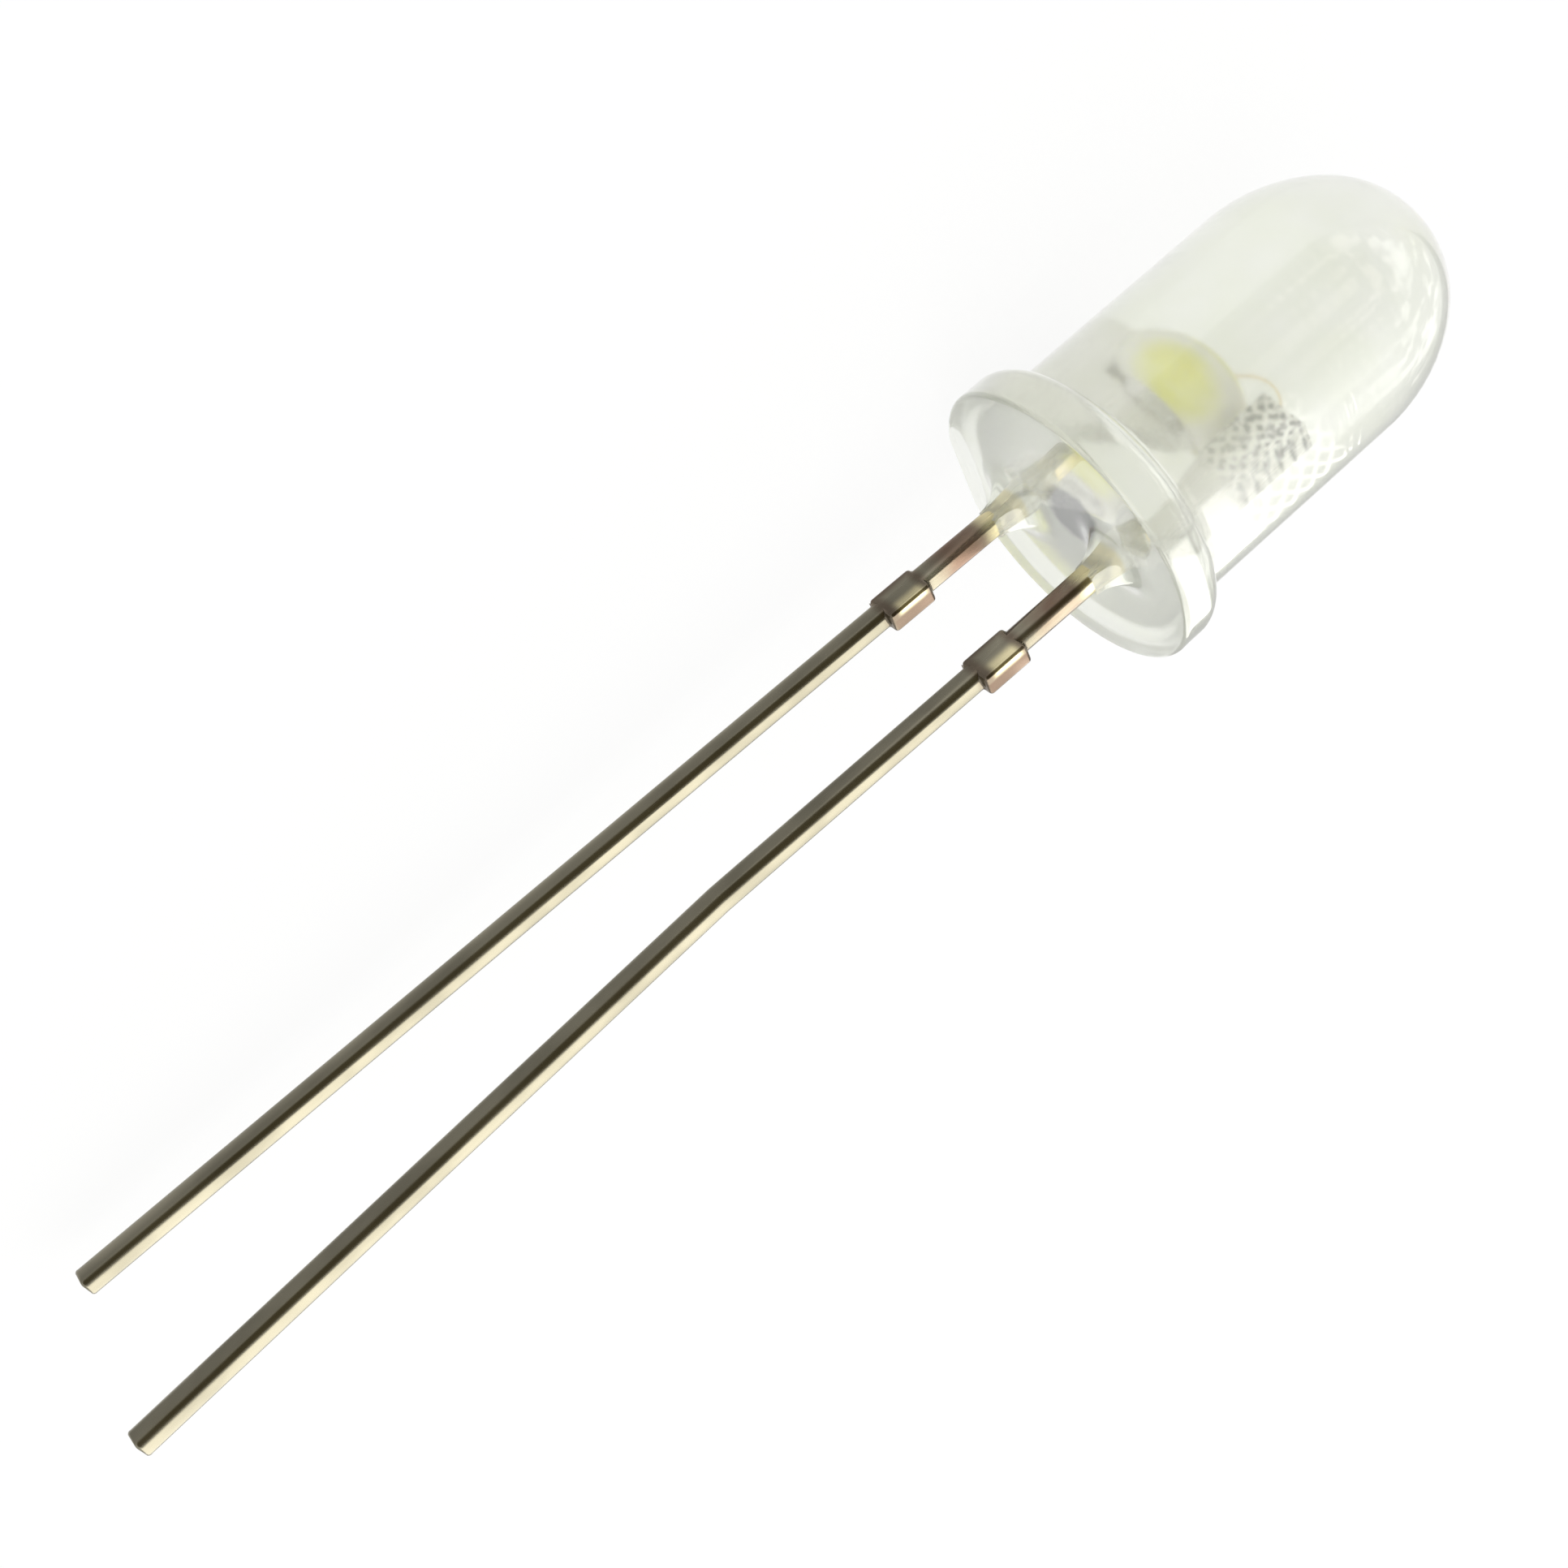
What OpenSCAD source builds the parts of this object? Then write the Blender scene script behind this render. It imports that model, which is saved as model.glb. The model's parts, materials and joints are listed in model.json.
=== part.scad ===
// Through hole LED, 5 mm round lens (T-1 3/4), white: a blue die under phosphor in clear epoxy.
//
// Every piece is drawn standing on its own axis: z runs from the leg tips to the dome, z = 0 is the
// bottom of the flange, x runs from the cathode to the anode and y is across the lead frame.
// lie_down() then lays the finished LED on the flat of its flange, as it comes to rest on a bench.

/* [Lens] */
// Diameter of the lens barrel
lens_d = 5.0; // [4.0:0.1:6.2]
// Height from the bottom of the flange to the tip of the dome
lens_h = 8.8; // [7.2:0.05:10.6]
// How much smaller the radius of the dome is than that of the barrel
dome_inset = 0.2; // [0.1:0.05:0.6]
// Radius of the shoulder that blends the barrel into the dome
shoulder_r = 3.5; // [3.3:0.1:6.3]

/* [Flange] */
// Width of the flange's rim round the barrel
flange_rim = 0.45; // [0.35:0.05:0.6]
// Thickness of the flange
flange_t = 1.0; // [0.8:0.05:1.3]
// Depth of the flat that marks the cathode side, from the edge of the flange
flat_cut = 0.2; // [0.1:0.05:0.35]
// Edge radius round the top of the flange
flange_top_r = 0.45; // [0.2:0.05:0.5]
// Edge radius round the bottom of the flange
flange_bottom_r = 0.1; // [0.05:0.05:0.2]
// Fillet in the corner between barrel and flange
root_r = 0.12; // [0.05:0.01:0.18]
// Depth of the shrinkage dish in the bottom
dish_depth = 0.08; // [0.04:0.01:0.15]
// Height that the epoxy climbs down each leg
meniscus_h = 0.7; // [0.4:0.05:0.9]

/* [Legs] */
// Pitch of the two legs where they leave the epoxy
pitch = 2.54; // [2.1:0.01:3.1]
// Width of a leg along the row
leg_w = 0.44; // [0.36:0.01:0.56]
// Thickness of the lead frame sheet
sheet_t = 0.44; // [0.36:0.01:0.56]
// Length of the cathode leg below the flange
cathode_l = 20.7; // [16:0.1:28]
// How much longer the anode leg is
anode_extra = 0.5; // [0.3:0.1:3]
// Outward lean of the cathode leg, in degrees
cathode_lean = 1.5; // [0:0.1:3]
// Outward lean of the upper anode leg, in degrees
anode_lean = -0.9; // [-2:0.1:2]
// Outward bend of the lower anode leg, in degrees
anode_bend = 3.0; // [0:0.1:5]
// Distance below the flange at which the anode leg bends
bend_at = 9; // [7:0.5:14]
// Distance from the flange to the dam bar stubs
stub_at = 2.3; // [1.5:0.1:3]
// Length of a stub along its leg
stub_l = 0.95; // [0.6:0.05:1.2]
// Step of a stub on the side towards the anode
stub_step = 0.17; // [0.1:0.01:0.25]
// Step of a stub on the side towards the cathode
stub_back = 0.07; // [0.04:0.01:0.12]

/* [Lead frame inside the epoxy] */
// Distance from the lens axis to the cup axis, towards the cathode
cup_offset = 0.35; // [0.2:0.05:0.5]
// Height of the cup rim
rim_z = 2.9; // [2.6:0.05:3.5]
// Radius of the cup at the inside of its rim
cup_r = 0.66; // [0.54:0.01:0.8]
// Radius of the cup floor
cup_floor_r = 0.4; // [0.34:0.01:0.5]
// Depth of the cup
cup_depth = 0.42; // [0.35:0.01:0.5]
// Wall of the cup
cup_wall = 0.09; // [0.07:0.01:0.12]
// Thickness of metal under the cup floor
cup_base_t = 0.2; // [0.15:0.01:0.3]
// Height at which the frame halves widen inside the epoxy
frame_step_z = 0.9; // [0.7:0.05:1.1]
// Clear gap between the anode post and the cup
frame_gap = 0.32; // [0.25:0.01:0.4]
// Height of the anode post above the cup rim
post_rise = 1.0; // [0.5:0.05:1.2]
// Height of the cathode's bonding ledge above the cup rim
ledge_rise = 0.5; // [0.2:0.05:0.8]
// Width of the frame outside the line of the legs
frame_ear = 0.4; // [0.1:0.02:0.45]

/* [Die and bonds] */
// Side of the square die
die_w = 0.36; // [0.3:0.01:0.42]
// Thickness of the die
die_t = 0.11; // [0.09:0.01:0.14]
// Diameter of a bond pad on the die
pad_d = 0.1; // [0.08:0.01:0.12]
// Height of a bond pad
pad_t = 0.01; // [0.008:0.001:0.015]
// Distance of each bond pad from the middle of the die
pad_x = 0.1; // [0.08:0.01:0.12]
// Thickness of the adhesive under the die
adhesive_t = 0.03; // [0.02:0.005:0.04]
// Radius of the adhesive pad
adhesive_r = 0.3; // [0.27:0.01:0.33]
// Diameter of the bond wires
wire_d = 0.03; // [0.025:0.001:0.04]
// Diameter of the bond at each end of a wire
bond_d = 0.08; // [0.06:0.005:0.09]
// Thickness of those bonds
bond_t = 0.025; // [0.02:0.005:0.03]
// Height of a bond wire's loop, as a share of its reach
loop_share = 0.25; // [0.15:0.05:0.4]

/* [Phosphor] */
// Height that the phosphor resin stands above the cup rim
phosphor_rise = 1.05; // [0.95:0.05:1.2]
// How far the drop of resin stands out past the cup rim
phosphor_over = 0.1; // [0.04:0.01:0.12]

/* [Hidden] */

// Facets of a round shape in the quick view: for most pieces, for the lens, for small edges and for wires.
$fn = 96;
lens_fn = 240;
edge_fn = 48;
wire_fn = 24;

// How far a tool reaches past what it cuts, how far two shapes sink into each other where they join, and
// how far the root fillet dips into the flange, so that their arcs cross.
overlap = 0.05;
sink = 0.005;
fillet_dip = 0.0005;

lens_r = lens_d / 2;
flange_r = lens_r + flange_rim;
flat_x = flange_r - flat_cut;

// The dome is a sphere on the axis, and the shoulder arc is tangent to it and to the barrel.
dome_r = lens_r - dome_inset;
dome_z = lens_h - dome_r;
shoulder_x = lens_r - shoulder_r;
shoulder_z = dome_z - sqrt(pow(shoulder_r - dome_r, 2) - pow(shoulder_x, 2));

// The root fillet is tangent to the barrel, and to the top of the flange or to its rounded edge where that
// reaches as far in.
root_x = lens_r + root_r;
root_lap = max(0, root_x - flange_r + flange_top_r);
root_z = flange_t - flange_top_r + sqrt(pow(flange_top_r + root_r, 2) - pow(root_lap, 2)) - fillet_dip;
root_touch_x = root_x - root_lap * root_r / (flange_top_r + root_r);

// The dish is a sphere that cuts the bottom inside the flange's edge radius.
dish_rim_r = flange_r - 2 * flange_bottom_r;
dish_r = (pow(dish_rim_r, 2) + pow(dish_depth, 2)) / (2 * dish_depth);

anode_l = cathode_l + anode_extra;

// The epoxy's climb down a leg starts at the height of the middle of the dish.
meniscus_r = meniscus_h + dish_depth;
leg_corner_r = norm([leg_w, sheet_t]) / 2;

cup_x = -cup_offset;
cup_floor_z = rim_z - cup_depth;
cup_out_r = cup_r + cup_wall;
anvil_top_z = cup_floor_z - cup_base_t / 2;
frame_left_x = -pitch / 2 - leg_w / 2 - frame_ear;
frame_right_x = pitch / 2 + leg_w / 2 + frame_ear;
post_z = rim_z + post_rise;
post_x = cup_x + cup_out_r + frame_gap;

die_z = cup_floor_z + adhesive_t;
pad_z = die_z + die_t + pad_t;
wire_z = pad_z + bond_t / 2;
ledge_z = rim_z + ledge_rise;
ledge_x = cup_x - cup_out_r + overlap;
ledge_bond_x = ledge_x - leg_w / 2;
post_bond_x = post_x + leg_w / 2;

// The drop of phosphor is a ball that closes over the rim and runs back to the cup's outer wall below it,
// above the anvil.
drop_r = cup_out_r + phosphor_over;

// Lays the standing LED on the flange's flat: dome along +X, anode on top, origin under the middle.
module lie_down() {
    translate([(anode_reach() - lens_h) / 2, 0, flat_x])
        rotate([0, 90, 0])
            rotate([0, 0, 180])
                children();
}

// Depth of the lowest point of the bent anode leg below the flange.
function anode_reach() = -leg_end("anode")[1] + leg_w / 2 * sin(abs(anode_lean + anode_bend));

// Point reached by going down a leg of a given lean, from a start point.
function down(from, length, lean) = from + length * [sin(lean), -cos(lean)];

function leg_bend_point() = down([pitch / 2, 0], bend_at, anode_lean);

function leg_end(which) = which == "anode"
    ? down(leg_bend_point(), anode_l - bend_at, anode_lean + anode_bend)
    : down([-pitch / 2, 0], cathode_l, -cathode_lean);

// Point on one side of a leg at a bend, where two leans meet in a mitre.
function mitre(point, lean_above, lean_below, side) =
    let (lean = (lean_above + lean_below) / 2)
    point + side * leg_w / 2 / cos((lean_below - lean_above) / 2) * [cos(lean), sin(lean)];

// Corners of a dam bar stub on one side of a leg, from the top down.
function stub_side(top, lean, side) =
    let (step = side > 0 ? stub_step : stub_back, across = [cos(lean), sin(lean)])
    [for (corner = [[stub_at, 0], [stub_at, step], [stub_at + stub_l, step], [stub_at + stub_l, 0]])
        down(top, corner[0], lean) + side * (leg_w / 2 + corner[1]) * across];

// One side of a leg from the top down: its centre points, and the lean of each stretch between them.
function leg_side(points, leans, side) =
    let (last = len(points) - 1)
    concat([mitre(points[0], 0, leans[0], side)],
           stub_side(points[0], leans[0], side),
           [for (i = [1:last]) mitre(points[i], leans[i - 1], leans[min(i, last - 1)], side)]);

function backwards(list) = [for (i = [len(list) - 1:-1:0]) list[i]];

// Outline of one half of the lead frame: the head that the epoxy holds, from left to right, and the leg.
module frame_outline(head, points, leans) {
    polygon(concat(head, leg_side(points, leans, 1), backwards(leg_side(points, leans, -1))));
}

// Turns an outline in the plane of the lead frame into sheet of the frame's thickness.
module stamp() {
    rotate([90, 0, 0])
        linear_extrude(sheet_t, center = true)
            children();
}

// Section of the lens and flange, turned round the axis.
module case_section() {
    intersection() {
        translate([shoulder_x, shoulder_z])
            circle(shoulder_r, $fn = lens_fn);
        translate([0, shoulder_z])
            square([lens_r, dome_z + dome_r * shoulder_cos() - shoulder_z]);
    }
    intersection() {
        translate([0, dome_z])
            circle(dome_r, $fn = lens_fn);
        translate([0, dome_z + dome_r * shoulder_cos() - sink])
            square([dome_r, dome_r]);
    }
    square([lens_r, shoulder_z]);
    flange_section();
    root_section();
}

// Fillet in the corner between barrel and flange, on a block that ends inside the flange.
module root_section() {
    difference() {
        translate([0, flange_t - flange_top_r])
            square([root_touch_x, root_z - flange_t + flange_top_r]);
        translate([root_x, root_z])
            circle(root_r, $fn = edge_fn);
    }
}

// Height of the point where shoulder and dome meet, as a share of the dome radius above its centre.
function shoulder_cos() = (dome_z - shoulder_z) / (shoulder_r - dome_r);

// Flange with a rounded top edge and a smaller radius below.
module flange_section() {
    square([flange_r - flange_top_r, flange_t]);
    translate([0, flange_bottom_r])
        square([flange_r, flange_t - flange_top_r - flange_bottom_r]);
    translate([flange_r - flange_top_r, flange_t - flange_top_r])
        circle(flange_top_r, $fn = edge_fn);
    translate([flange_r - flange_bottom_r, flange_bottom_r])
        circle(flange_bottom_r, $fn = edge_fn);
}

// Concave fillet of epoxy that climbs down a leg from the bottom of the case.
module meniscus(x) {
    translate([x, 0, 0])
        rotate_extrude()
            difference() {
                translate([0, -meniscus_h])
                    square([leg_corner_r + meniscus_r, meniscus_r + dish_depth]);
                translate([leg_corner_r + meniscus_r, -meniscus_h])
                    circle(meniscus_r);
            }
}

module case_solid() {
    difference() {
        rotate_extrude()
            case_section();
        translate([-flange_r - flat_x, -flange_r, -overlap])
            cube([flange_r, 2 * flange_r, flange_t + 2 * overlap]);
        translate([0, 0, dish_depth - dish_r])
            sphere(dish_r, $fn = lens_fn);
    }
    meniscus(-pitch / 2);
    meniscus(pitch / 2);
}

// Reflector cup without its hollow.
module cup_body() {
    translate([cup_x, 0, cup_floor_z - cup_base_t])
        cylinder(h = cup_depth + cup_base_t, r1 = cup_floor_r + cup_wall / 2, r2 = cup_out_r);
}

module cup_hollow() {
    translate([cup_x, 0, cup_floor_z])
        cylinder(h = cup_depth, r1 = cup_floor_r, r2 = cup_r);
}

// Cathode half of the frame inside the epoxy: the anvil under the cup, with the bonding ledge beside it.
function anvil_points() =
    let (leg_left = -pitch / 2 - leg_w / 2)
    [[leg_left, frame_step_z - frame_ear],
     [frame_left_x, frame_step_z],
     [frame_left_x, ledge_z],
     [ledge_x, ledge_z],
     [ledge_x, anvil_top_z],
     [cup_x + cup_floor_r, anvil_top_z],
     [cup_x + cup_floor_r, anvil_top_z - cup_base_t],
     [leg_left + leg_w, frame_step_z]];

// Anode half of the frame inside the epoxy: the post, with its flag leaning towards the cup.
function post_points() =
    let (leg_right = pitch / 2 + leg_w / 2)
    [[leg_right - leg_w, frame_step_z],
     [post_x, cup_floor_z],
     [post_x, post_z],
     [frame_right_x, post_z],
     [frame_right_x, frame_step_z],
     [leg_right, frame_step_z - frame_ear]];

module cathode_solid() {
    difference() {
        union() {
            stamp()
                frame_outline(anvil_points(), [[-pitch / 2, 0], leg_end("cathode")], [-cathode_lean]);
            cup_body();
        }
        cup_hollow();
    }
}

module anode_solid() {
    stamp()
        frame_outline(post_points(), [[pitch / 2, 0], leg_bend_point(), leg_end("anode")],
                      [anode_lean, anode_lean + anode_bend]);
}

// Phosphor resin as it fills the cup and closes over the rim, before what it covers is cut out.
module phosphor_solid() {
    cup_hollow();
    intersection() {
        translate([cup_x, 0, rim_z + phosphor_rise - drop_r])
            sphere(drop_r);
        translate([cup_x, 0, anvil_top_z])
            cylinder(h = phosphor_rise + cup_depth + cup_base_t, r = drop_r + overlap);
    }
}

module adhesive_solid() {
    translate([cup_x, 0, cup_floor_z])
        cylinder(h = adhesive_t, r1 = adhesive_r, r2 = die_w * sqrt(2) / 2);
}

module die_solid() {
    translate([cup_x, 0, die_z + die_t / 2])
        cube([die_w, die_w, die_t], center = true);
    for (side = [-1, 1])
        translate([cup_x + side * pad_x, 0, die_z + die_t - pad_t])
            cylinder(h = 2 * pad_t, d = pad_d, $fn = wire_fn);
}

// Bond wire from a pad on the die to a higher landing point: the ball on the pad, the riser, the loop
// that starts straight up from it, and the flattened stitch where it lands.
module wire_solid(side, landing_x, landing_z) {
    start_x = cup_x + side * pad_x;
    reach = abs(landing_x - start_x);
    rise = loop_share * reach;
    riser = landing_z + bond_t / 2 - wire_z - rise;
    loop_r = (pow(reach, 2) + pow(rise, 2)) / (2 * reach);
    sweep = 180 - atan2(rise, reach - loop_r);
    translate([start_x, 0, pad_z])
        cylinder(h = bond_t, d = bond_d, $fn = wire_fn);
    translate([start_x, 0, wire_z])
        cylinder(h = riser, d = wire_d, $fn = wire_fn);
    translate([landing_x, 0, landing_z])
        cylinder(h = bond_t, d = bond_d, $fn = wire_fn);
    difference() {
        translate([start_x, 0, wire_z + riser])
            mirror([side < 0 ? 1 : 0, 0, 0])
                translate([loop_r, 0, 0])
                    rotate([90, 0, 0])
                        rotate([0, 0, 180 - sweep])
                            rotate_extrude(angle = sweep)
                                translate([loop_r, 0])
                                    circle(d = wire_d, $fn = wire_fn);
        translate([landing_x - bond_d, -bond_d, landing_z - bond_d])
            cube([2 * bond_d, 2 * bond_d, bond_d]);
    }
}

module anode_wire_solid() {
    wire_solid(1, post_bond_x, post_z);
}

module cathode_wire_solid() {
    wire_solid(-1, ledge_bond_x, ledge_z);
}

// Clear epoxy cast round everything inside it.
module epoxy_case() {
    color([0.88, 0.9, 0.86, 0.45])
        lie_down()
            difference() {
                case_solid();
                cathode_solid();
                anode_solid();
                phosphor_solid();
                anode_wire_solid();
                cathode_wire_solid();
            }
}

module cathode_lead() {
    color([0.72, 0.71, 0.68])
        lie_down()
            cathode_solid();
}

module anode_lead() {
    color([0.72, 0.71, 0.68])
        lie_down()
            anode_solid();
}

module phosphor_fill() {
    color([0.86, 0.84, 0.35])
        lie_down()
            difference() {
                phosphor_solid();
                cathode_solid();
                adhesive_solid();
                die_solid();
                anode_wire_solid();
                cathode_wire_solid();
            }
}

module led_chip() {
    color([0.55, 0.68, 0.72])
        lie_down()
            die_solid();
}

module die_attach() {
    color([0.85, 0.85, 0.85])
        lie_down()
            adhesive_solid();
}

module anode_bond_wire() {
    color([0.9, 0.72, 0.25])
        lie_down()
            anode_wire_solid();
}

module cathode_bond_wire() {
    color([0.9, 0.72, 0.25])
        lie_down()
            cathode_wire_solid();
}

epoxy_case();
cathode_lead();
anode_lead();
phosphor_fill();
led_chip();
die_attach();
anode_bond_wire();
cathode_bond_wire();
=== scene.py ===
"""Round 5 mm LED lamp: clear lens, stamped lead frame, phosphor, die and bond wires, in a plain studio."""

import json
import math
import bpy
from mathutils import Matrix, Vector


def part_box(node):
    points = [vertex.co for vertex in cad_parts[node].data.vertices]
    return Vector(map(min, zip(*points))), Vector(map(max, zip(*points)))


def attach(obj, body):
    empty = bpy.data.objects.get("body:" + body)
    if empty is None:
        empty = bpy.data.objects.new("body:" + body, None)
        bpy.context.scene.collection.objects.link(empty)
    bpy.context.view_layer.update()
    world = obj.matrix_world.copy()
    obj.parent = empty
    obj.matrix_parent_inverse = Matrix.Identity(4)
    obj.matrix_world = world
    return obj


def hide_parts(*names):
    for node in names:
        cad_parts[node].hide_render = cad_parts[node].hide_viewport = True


bl_info = {
    "name": "Round LED Lamp",
    "version": (1, 0, 0),
    "blender": (4, 5, 0),
    "location": "3D Viewport > Sidebar > LED Lamp",
    "description": "Makes a 5 mm through hole LED on its lead frame, with its finishes and a studio",
    "category": "Add Mesh",
}

import bmesh
import bpy
from mathutils import Matrix, Vector, geometry

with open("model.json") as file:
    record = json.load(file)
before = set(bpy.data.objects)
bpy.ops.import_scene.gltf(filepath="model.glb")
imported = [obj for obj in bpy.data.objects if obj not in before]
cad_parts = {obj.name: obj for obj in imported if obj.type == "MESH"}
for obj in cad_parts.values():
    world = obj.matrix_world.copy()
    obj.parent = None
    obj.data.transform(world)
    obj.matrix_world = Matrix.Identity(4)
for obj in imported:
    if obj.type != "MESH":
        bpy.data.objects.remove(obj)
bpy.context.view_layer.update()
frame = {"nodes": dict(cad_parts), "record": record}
MM = 0.001


def mount(name):
    """The record's mount of that name."""
    return next(m for m in frame["record"]["mounts"] if m["name"] == name)


AXIS_HEIGHT = mount("lens_barrel")["pos_m"][2]
BARREL_RADIUS = mount("lens_barrel")["dims"]["r_mm"] * MM
DOME_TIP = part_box("epoxy_case")[1].x
FLANGE_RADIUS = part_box("epoxy_case")[1].y
MENISCUS_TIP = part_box("epoxy_case")[0].x
SHEET = 2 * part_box("anode_lead")[1].y
PITCH = mount("anode_leg")["pos_m"][2] - mount("cathode_leg")["pos_m"][2]
LEG_PLACES = (-PITCH / 2, PITCH / 2)
# Points nearer to each other than this are one: in a mesh, at a seam or in a fine wire, and along a profile.
SAME_PLACE = 0.0005 * MM
SEAM = 0.0002 * MM
REPEAT = 0.002 * MM
# Height of the flat for a turned piece that has none: far below it.
NO_FLAT = -1.0


def flange_bottom():
    """Place along the axis of the bottom of the flange."""
    return DOME_TIP - bpy.context.scene.led_lens.height


def length(name, description, default):
    """A size in metres, shown in the scene's unit of length."""
    return bpy.props.FloatProperty(
        name=name,
        description=description,
        default=default,
        min=0,
        precision=6,
        subtype="DISTANCE",
        unit="LENGTH",
    )


def colour(name, description, default):
    """A linear colour."""
    return bpy.props.FloatVectorProperty(
        name=name, description=description, default=default, min=0, max=1, size=3, subtype="COLOR"
    )


class LedLensSizes(bpy.types.PropertyGroup):
    """Sizes of the epoxy lens."""

    height: length("Height", "From the bottom of the flange to the tip of the dome", 8.8 * MM)
    barrel: length("Barrel radius", "Radius of the straight part of the lens", BARREL_RADIUS)
    dome: length("Dome radius", "Radius of the dome at its tip", 2.3 * MM)
    shoulder: length("Shoulder radius", "Radius that blends the barrel into the dome", 3.5 * MM)
    flange: length("Flange radius", "Radius of the flange", FLANGE_RADIUS)
    flange_height: length("Flange thickness", "Thickness of the flange", 1.0 * MM)
    top_edge: length("Top edge", "Edge radius round the top of the flange", 0.45 * MM)
    bottom_edge: length("Bottom edge", "Edge radius round the bottom of the flange", 0.1 * MM)
    root: length("Root fillet", "Fillet between barrel and flange", 0.12 * MM)
    dish: length("Bottom dish", "Depth of the shrinkage dish in the bottom", 0.08 * MM)


class LedCupSizes(bpy.types.PropertyGroup):
    """Sizes of the reflector cup that the phosphor fills."""

    depth: length("Depth", "Depth of the cup", 0.42 * MM)
    floor: length("Floor radius", "Radius of the cup floor", 0.4 * MM)
    rim: length("Rim radius", "Radius of the cup at the inside of its rim", 0.66 * MM)
    wall: length("Wall", "Wall of the cup at its rim", 0.09 * MM)
    base: length("Base", "Thickness of metal under the cup floor", 0.2 * MM)


class LedLeadSizes(bpy.types.PropertyGroup):
    """Sizes of the lead frame's edges and of the wires."""

    edge: length("Leg edge", "Rounding of the long edges of a leg", 0.16 * MM)
    wire: length("Wire radius", "Radius of the bond wires", 0.015 * MM)
    ball: length("Ball radius", "Radius of the ball at the start of a bond wire", 0.04 * MM)


class LedFinish(bpy.types.PropertyGroup):
    """Colours of the materials."""

    epoxy: colour("Epoxy", "Tint of the clear epoxy", (0.90, 0.912, 0.858))
    plating: colour("Plating", "Tin plating on the legs", (0.28, 0.258, 0.195))
    silver: colour("Silver", "Silver plating inside the epoxy", (0.80, 0.79, 0.75))
    # Also the colour of the painted highlight on the stubs.
    wetted_and_highlight: colour("Wetted plating", "Plating under the epoxy that climbs down the legs", (0.72, 0.64, 0.40))
    # Colour of painted brown shade, below the flange and on the stubs.
    painted_brown_shade: colour("Tarnish", "Brown bloom on the plating below the flange", (0.17, 0.112, 0.082))
    phosphor: colour("Phosphor", "Phosphor resin in the cup", (0.95, 0.94, 0.24))
    gold: colour("Gold", "Bond wires", (0.92, 0.66, 0.25))
    floor: colour("Floor", "Floor of the studio", (0.88, 0.88, 0.87))


# ---------------------------------------------------------------- node helpers


def new_material(name):
    """A new material, its emptied node tree and the tree's output."""
    material = bpy.data.materials.new(name)
    material.use_nodes = True
    tree = material.node_tree
    tree.nodes.clear()
    return material, tree, tree.nodes.new("ShaderNodeOutputMaterial")


def add(tree, kind, inputs=None, **settings):
    """Adds a node, sets its attributes, then sets or links its inputs by name or number."""
    node = tree.nodes.new(kind)
    for key, value in settings.items():
        setattr(node, key, value)
    for key, value in (inputs or {}).items():
        if isinstance(value, bpy.types.NodeSocket):
            tree.links.new(value, node.inputs[key])
        else:
            node.inputs[key].default_value = value
    return node


def maths(tree, operation, a, b=0.0, clamp=False):
    """Output of a Math node."""
    return add(tree, "ShaderNodeMath", {0: a, 1: b}, operation=operation, use_clamp=clamp).outputs[0]


def times(tree, *factors):
    """Product of two or more values."""
    product = factors[0]
    for factor in factors[1:]:
        product = maths(tree, "MULTIPLY", product, factor)
    return product


def either(tree, *masks):
    """The greatest of two or more masks."""
    greatest = masks[0]
    for mask in masks[1:]:
        greatest = maths(tree, "MAXIMUM", greatest, mask)
    return greatest


def opposite(tree, mask):
    """1 where a mask is 0, and 0 where it is 1."""
    return maths(tree, "SUBTRACT", 1.0, mask)


def span(tree, value, low, high, to_low=0.0, to_high=1.0):
    """Output of a smooth Map Range node."""
    node = add(
        tree,
        "ShaderNodeMapRange",
        {"Value": value, "From Min": low, "From Max": high, "To Min": to_low, "To Max": to_high},
        interpolation_type="SMOOTHSTEP",
    )
    return node.outputs["Result"]


def band(tree, value, low, high, soft):
    """1 where a value lies between two limits, with soft edges."""
    rise = span(tree, value, low - soft, low + soft)
    fall = span(tree, value, high - soft, high + soft, 1.0, 0.0)
    return times(tree, rise, fall)


def blend_colours(tree, factor, first, second):
    """Colour output of a Mix node. Each colour is a socket or three numbers."""
    node = add(tree, "ShaderNodeMix", {0: factor}, data_type="RGBA")
    for socket, value in ((node.inputs[6], first), (node.inputs[7], second)):
        if isinstance(value, bpy.types.NodeSocket):
            tree.links.new(value, socket)
        else:
            socket.default_value = (*value[:3], 1.0)
    return node.outputs[2]


def scaled(tint, *factors):
    """A colour times one factor, or each channel times its own."""
    return [channel * factor for channel, factor in zip(tint, factors * (3 // len(factors)))]


def parts_of(tree, vector):
    """The X, Y and Z of a vector."""
    return add(tree, "ShaderNodeSeparateXYZ", {0: vector}).outputs


def object_place(tree):
    """Place on the object."""
    return add(tree, "ShaderNodeTexCoord").outputs["Object"]


def distance(tree, place, spot):
    """Distance of a place from a fixed spot."""
    return add(tree, "ShaderNodeVectorMath", {0: place, 1: spot}, operation="DISTANCE").outputs["Value"]


def grain(tree, scale, detail, stretch=(1, 1, 1)):
    """Noise on the object's own coordinates, stretched along chosen axes. Scale is in waves to the metre."""
    mapped = add(tree, "ShaderNodeMapping", {"Vector": object_place(tree), "Scale": stretch}).outputs[0]
    inputs = {"Vector": mapped, "Scale": scale, "Detail": detail}
    return add(tree, "ShaderNodeTexNoise", inputs).outputs["Fac"]


def relief(tree, height, strength, distance):
    """Normal output of a Bump node."""
    inputs = {"Height": height, "Strength": strength, "Distance": distance}
    return add(tree, "ShaderNodeBump", inputs).outputs[0]


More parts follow.
